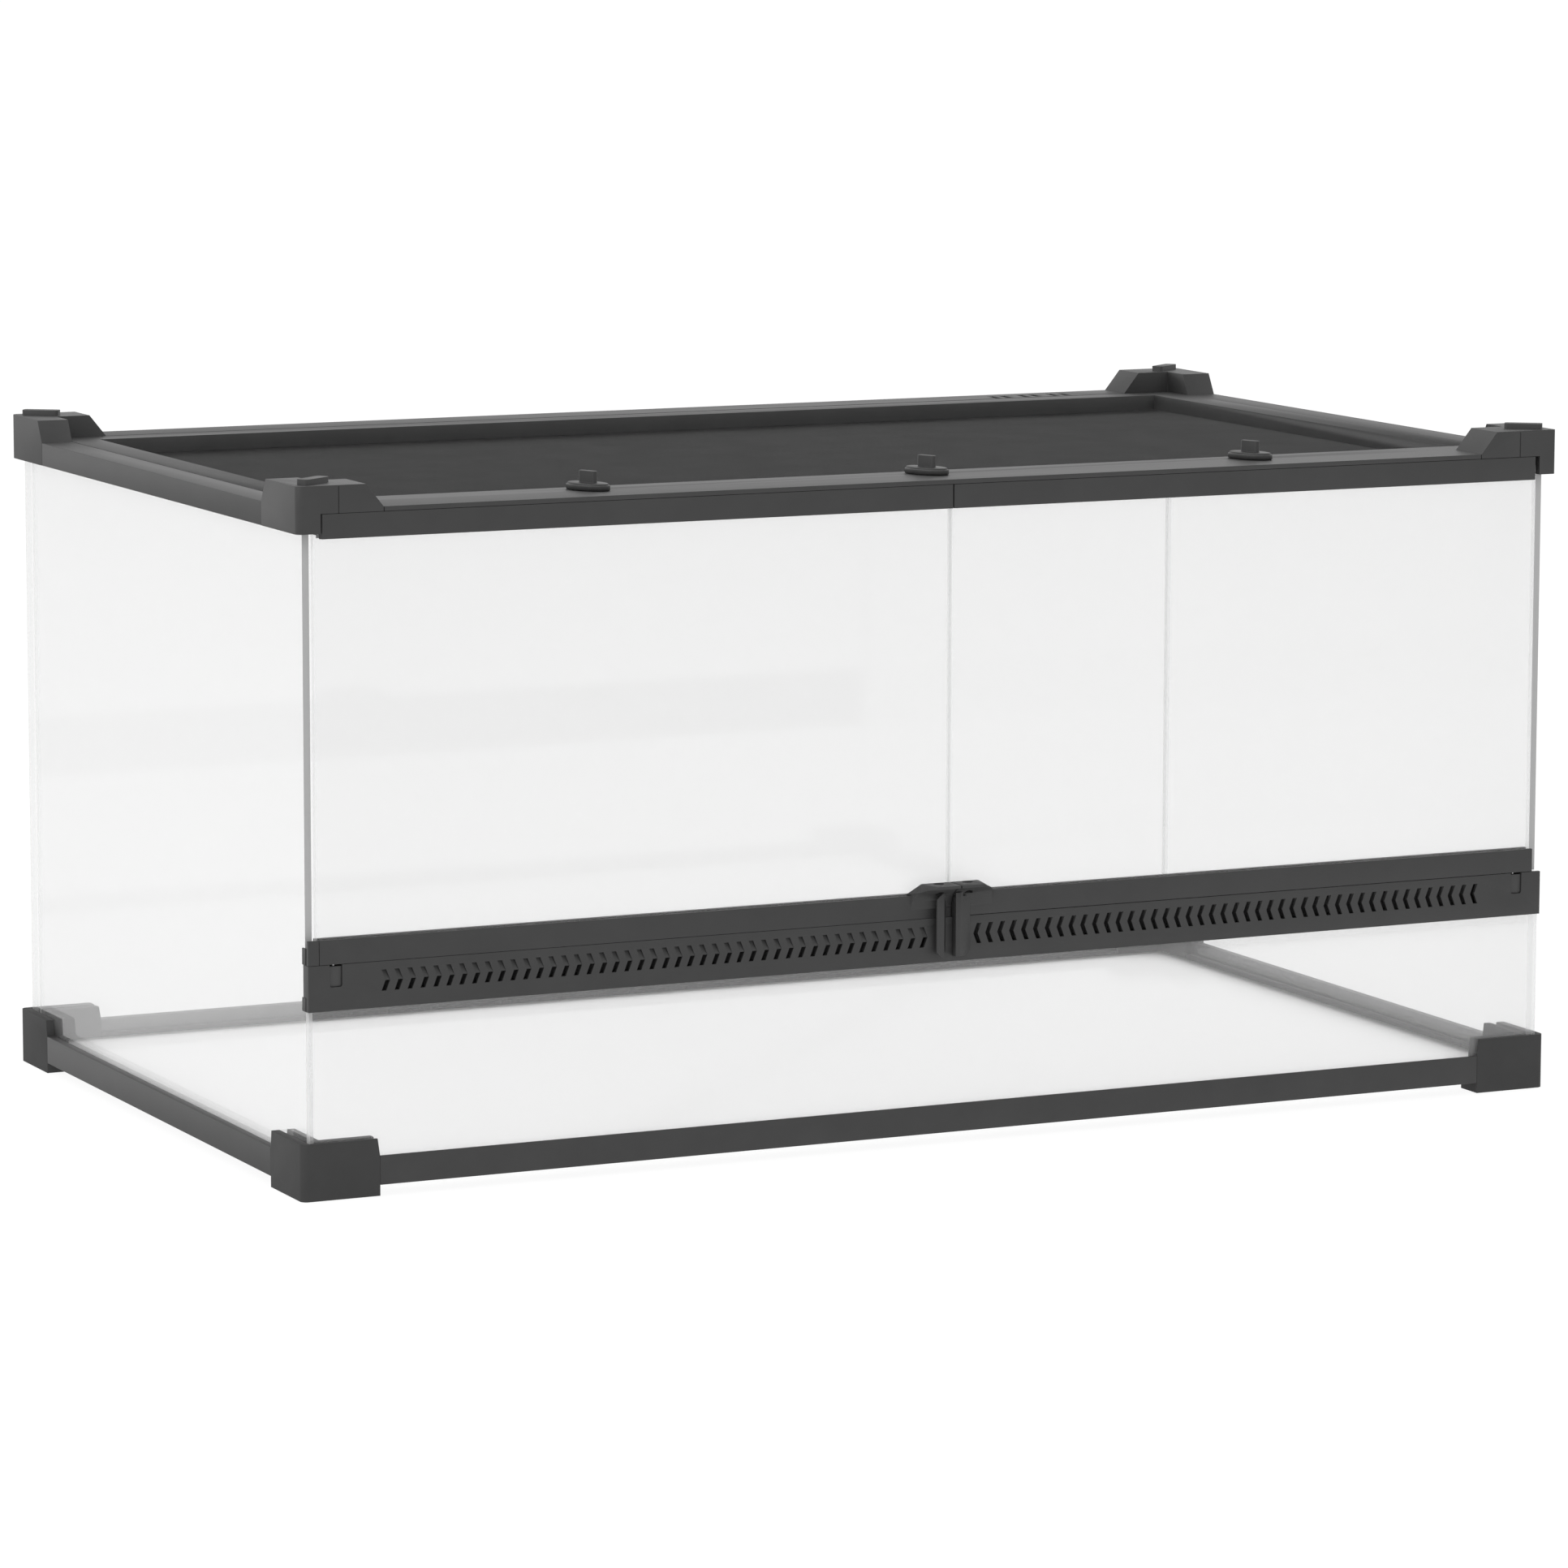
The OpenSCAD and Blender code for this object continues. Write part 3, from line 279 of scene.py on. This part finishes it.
def dress_pane(node, across, cut=None):
    """A pane with ground arrises; across is the axis of its thickness and cut its trimmed box.

    Side panes stop behind the plane of the front panes, and the lower front pane covers their
    edges.  Beside the doors, those edges are sealed and grey.
    """
    low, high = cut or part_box(node)
    made = bmesh.new()
    bmesh.ops.create_cube(made, size=1.0)
    for vert in made.verts:
        vert.co = [low[i] if vert.co[i] < 0 else high[i] for i in range(3)]
    sealed = across == 0
    if sealed:
        bmesh.ops.bisect_plane(made, geom=made.verts[:] + made.edges[:] + made.faces[:],
                               plane_co=(0, 0, VENT_TOP), plane_no=(0, 0, 1))
    mesh = bpy.data.meshes.new(node + "_shaped")
    made.to_mesh(mesh)
    made.free()
    piece = bpy.data.objects.new(node + "_shaped", mesh)
    scene.collection.objects.link(piece)
    for material in (GLASS, GLASS_EDGE, SEALED_EDGE, WHITE_FILM):
        mesh.materials.append(material)
    for face in mesh.polygons:
        if abs(face.normal[across]) < 0.5:
            face.material_index = 1
        if sealed and face.normal.y < -0.5 and face.center.z > VENT_TOP:
            face.material_index = 2
        if across == 2 and face.normal.z > 0.5:
            face.material_index = 3
    if not sealed:
        edge = piece.modifiers.new("edge", "BEVEL")
        edge.width = ARRIS
        edge.segments = 1
        edge.limit_method = "ANGLE"
        edge.material = 1
    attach(piece, BODY_OF[node])
    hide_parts(node)


def panes():
    """All the panes; the corner joints of the tank follow the photograph."""
    front_low, front_high = (v.copy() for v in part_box("front_glass"))
    for node in ("left_glass", "right_glass"):
        low, high = (v.copy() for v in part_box(node))
        front_low.x, front_high.x = min(front_low.x, low.x), max(front_high.x, high.x)
        low.y = front_high.y + PANE_GAP
        dress_pane(node, 0, (low, high))
    dress_pane("front_glass", 1, (front_low, front_high))
    dress_pane("back_glass", 1)
    dress_pane("floor_glass", 2)
    dress_pane("left_door_glass", 1)
    dress_pane("right_door_glass", 1)


BASE = [n for n in nodes if n.startswith("base_") or n.startswith("foot_")]
UPPER = [n for n in nodes if n.startswith("top_") or n.startswith("corner_")]
UPPER += ["lid_frame", "lid_front_strip"]
for n in BASE:
    foot = n.startswith("foot_")
    dress(n, FOOT_PLASTIC if foot else PLASTIC, 0.6 if foot else 0.5)
for n in UPPER:
    dress(n, PLASTIC, 0.9 if n.startswith("corner_") else 0.5,
          keep_sharp=on_lid_seam if n.startswith("lid_") else None)
dress("vent_rail", DOOR_PLASTIC, 0.3)
dress("left_glass_clip", DOOR_PLASTIC, 0.05)
for side in ("left", "right"):
    dress(side + "_hinge_socket", SOCKET_PLASTIC, 0.4)
    dress(side + "_door_top_rail", DOOR_PLASTIC, 0.5)
    dress(side + "_door_bottom_rail", DOOR_PLASTIC, 0.4)
    dress(side + "_door_handle", DOOR_PLASTIC, 0.5)
for lock in ("left", "middle", "right"):
    dress(lock + "_lock_knob", LOCK_PLASTIC, 0.5)
    dress(lock + "_lock_cam", LOCK_PLASTIC, 0.4)
panes()
for n in nodes:
    if n.endswith("_pin"):
        dress(n, STEEL, 0.3)


def woven_mesh():
    """Two sets of thin wires that cross, in the space of the plain mesh solid."""
    low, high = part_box("lid_mesh")
    pitch = WIRE_PITCH
    wire = WIRE_THICK
    made = bmesh.new()

    def run(axis, at, height, start, end):
        """One square wire along the axis, standing on its edge."""
        ring = []
        for end_at in (start, end):
            corners = []
            for dy, dz in ((-wire, 0), (0, wire), (wire, 0), (0, -wire)):
                across, up = at + dy / 2, height + dz / 2
                corners.append(made.verts.new((end_at, across, up) if axis == 0 else (across, end_at, up)))
            ring.append(corners)
        for i in range(4):
            j = (i + 1) % 4
            made.faces.new((ring[0][i], ring[0][j], ring[1][j], ring[1][i]))
        made.faces.new(ring[0][::-1])
        made.faces.new(ring[1])

    middle = (low.z + high.z) / 2
    count = int((high.y - low.y) / pitch)
    for i in range(count):
        run(0, low.y + (i + 0.5) * pitch, middle - wire * WIRE_OFFSET, low.x, high.x)
    count = int((high.x - low.x) / pitch)
    for i in range(count):
        run(1, low.x + (i + 0.5) * pitch, middle + wire * WIRE_OFFSET, low.y, high.y)
    bmesh.ops.recalc_face_normals(made, faces=made.faces)
    mesh = bpy.data.meshes.new("woven_mesh")
    made.to_mesh(mesh)
    made.free()
    mesh.materials.append(WIRE)
    piece = bpy.data.objects.new("woven_mesh", mesh)
    scene.collection.objects.link(piece)
    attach(piece, "lid")
    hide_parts("lid_mesh")


woven_mesh()


# ---------------------------------------------------------------- studio

def studio():
    """Pale floor, white surroundings and two soft lights."""
    mat, tree, out = new_material("studio_floor")
    glow = add(tree, "ShaderNodeEmission", Color=(1, 1, 1, 1), Strength=1.05)
    paper = add(tree, "ShaderNodeBsdfDiffuse", Color=(0.9, 0.9, 0.9, 1))
    mix = add(tree, "ShaderNodeMixShader", Fac=0.12)
    tree.links.new(glow.outputs["Emission"], mix.inputs[1])
    tree.links.new(paper.outputs["BSDF"], mix.inputs[2])
    tree.links.new(mix.outputs["Shader"], out.inputs["Surface"])
    mesh = bpy.data.meshes.new("studio_floor")
    half = 30
    below = -0.0005
    corners = [(-half, -half, below), (half, -half, below), (half, half, below), (-half, half, below)]
    mesh.from_pydata(corners, [], [(0, 1, 2, 3)])
    mesh.materials.append(mat)
    floor = bpy.data.objects.new("studio_floor", mesh)
    scene.collection.objects.link(floor)
    world = bpy.data.worlds.new("studio")
    world.use_nodes = True
    world.node_tree.nodes["Background"].inputs["Color"].default_value = (1, 1, 1, 1)
    world.node_tree.nodes["Background"].inputs["Strength"].default_value = 1.0
    scene.world = world

    def soft_light(name, at, target, size, power):
        data = bpy.data.lights.new(name, "AREA")
        data.shape = "DISK"
        data.size = size
        data.energy = power
        lamp = bpy.data.objects.new(name, data)
        lamp.location = at
        lamp.rotation_mode = "QUATERNION"
        lamp.rotation_quaternion = (Vector(target) - Vector(at)).to_track_quat("-Z", "Y")
        scene.collection.objects.link(lamp)

    soft_light("key", (-2.6, -0.6, 2.6), (0, 0, 0.3), 1.6, 26.0)
    soft_light("top", (0.4, 1.0, 3.2), (0, 0, 0.4), 2.2, 18.0)


studio()


# ---------------------------------------------------------------- camera

def camera():
    """The photograph's viewpoint."""
    data = bpy.data.cameras.new("camera")
    data.sensor_width = SENSOR_MM
    data.lens = FOCAL_PX * SENSOR_MM / PICTURE_PX
    data.clip_start = 0.1
    data.clip_end = 100.0
    cam = bpy.data.objects.new("camera", data)
    yaw = math.radians(YAW_DEG)
    pitch = math.radians(PITCH_DEG)
    roll = math.radians(ROLL_DEG)
    ahead = Vector((math.sin(yaw) * math.cos(pitch), math.cos(yaw) * math.cos(pitch), -math.sin(pitch)))
    level = Vector((math.cos(yaw), -math.sin(yaw), 0))
    above = level.cross(ahead)
    right = math.cos(roll) * level + math.sin(roll) * above
    up = -math.sin(roll) * level + math.cos(roll) * above
    turn = Matrix((right, up, -ahead)).transposed().to_4x4()
    cam.matrix_world = Matrix.Translation(VIEW_FROM) @ turn
    scene.collection.objects.link(cam)
    scene.camera = cam


camera()

bpy.context.view_layer.update()
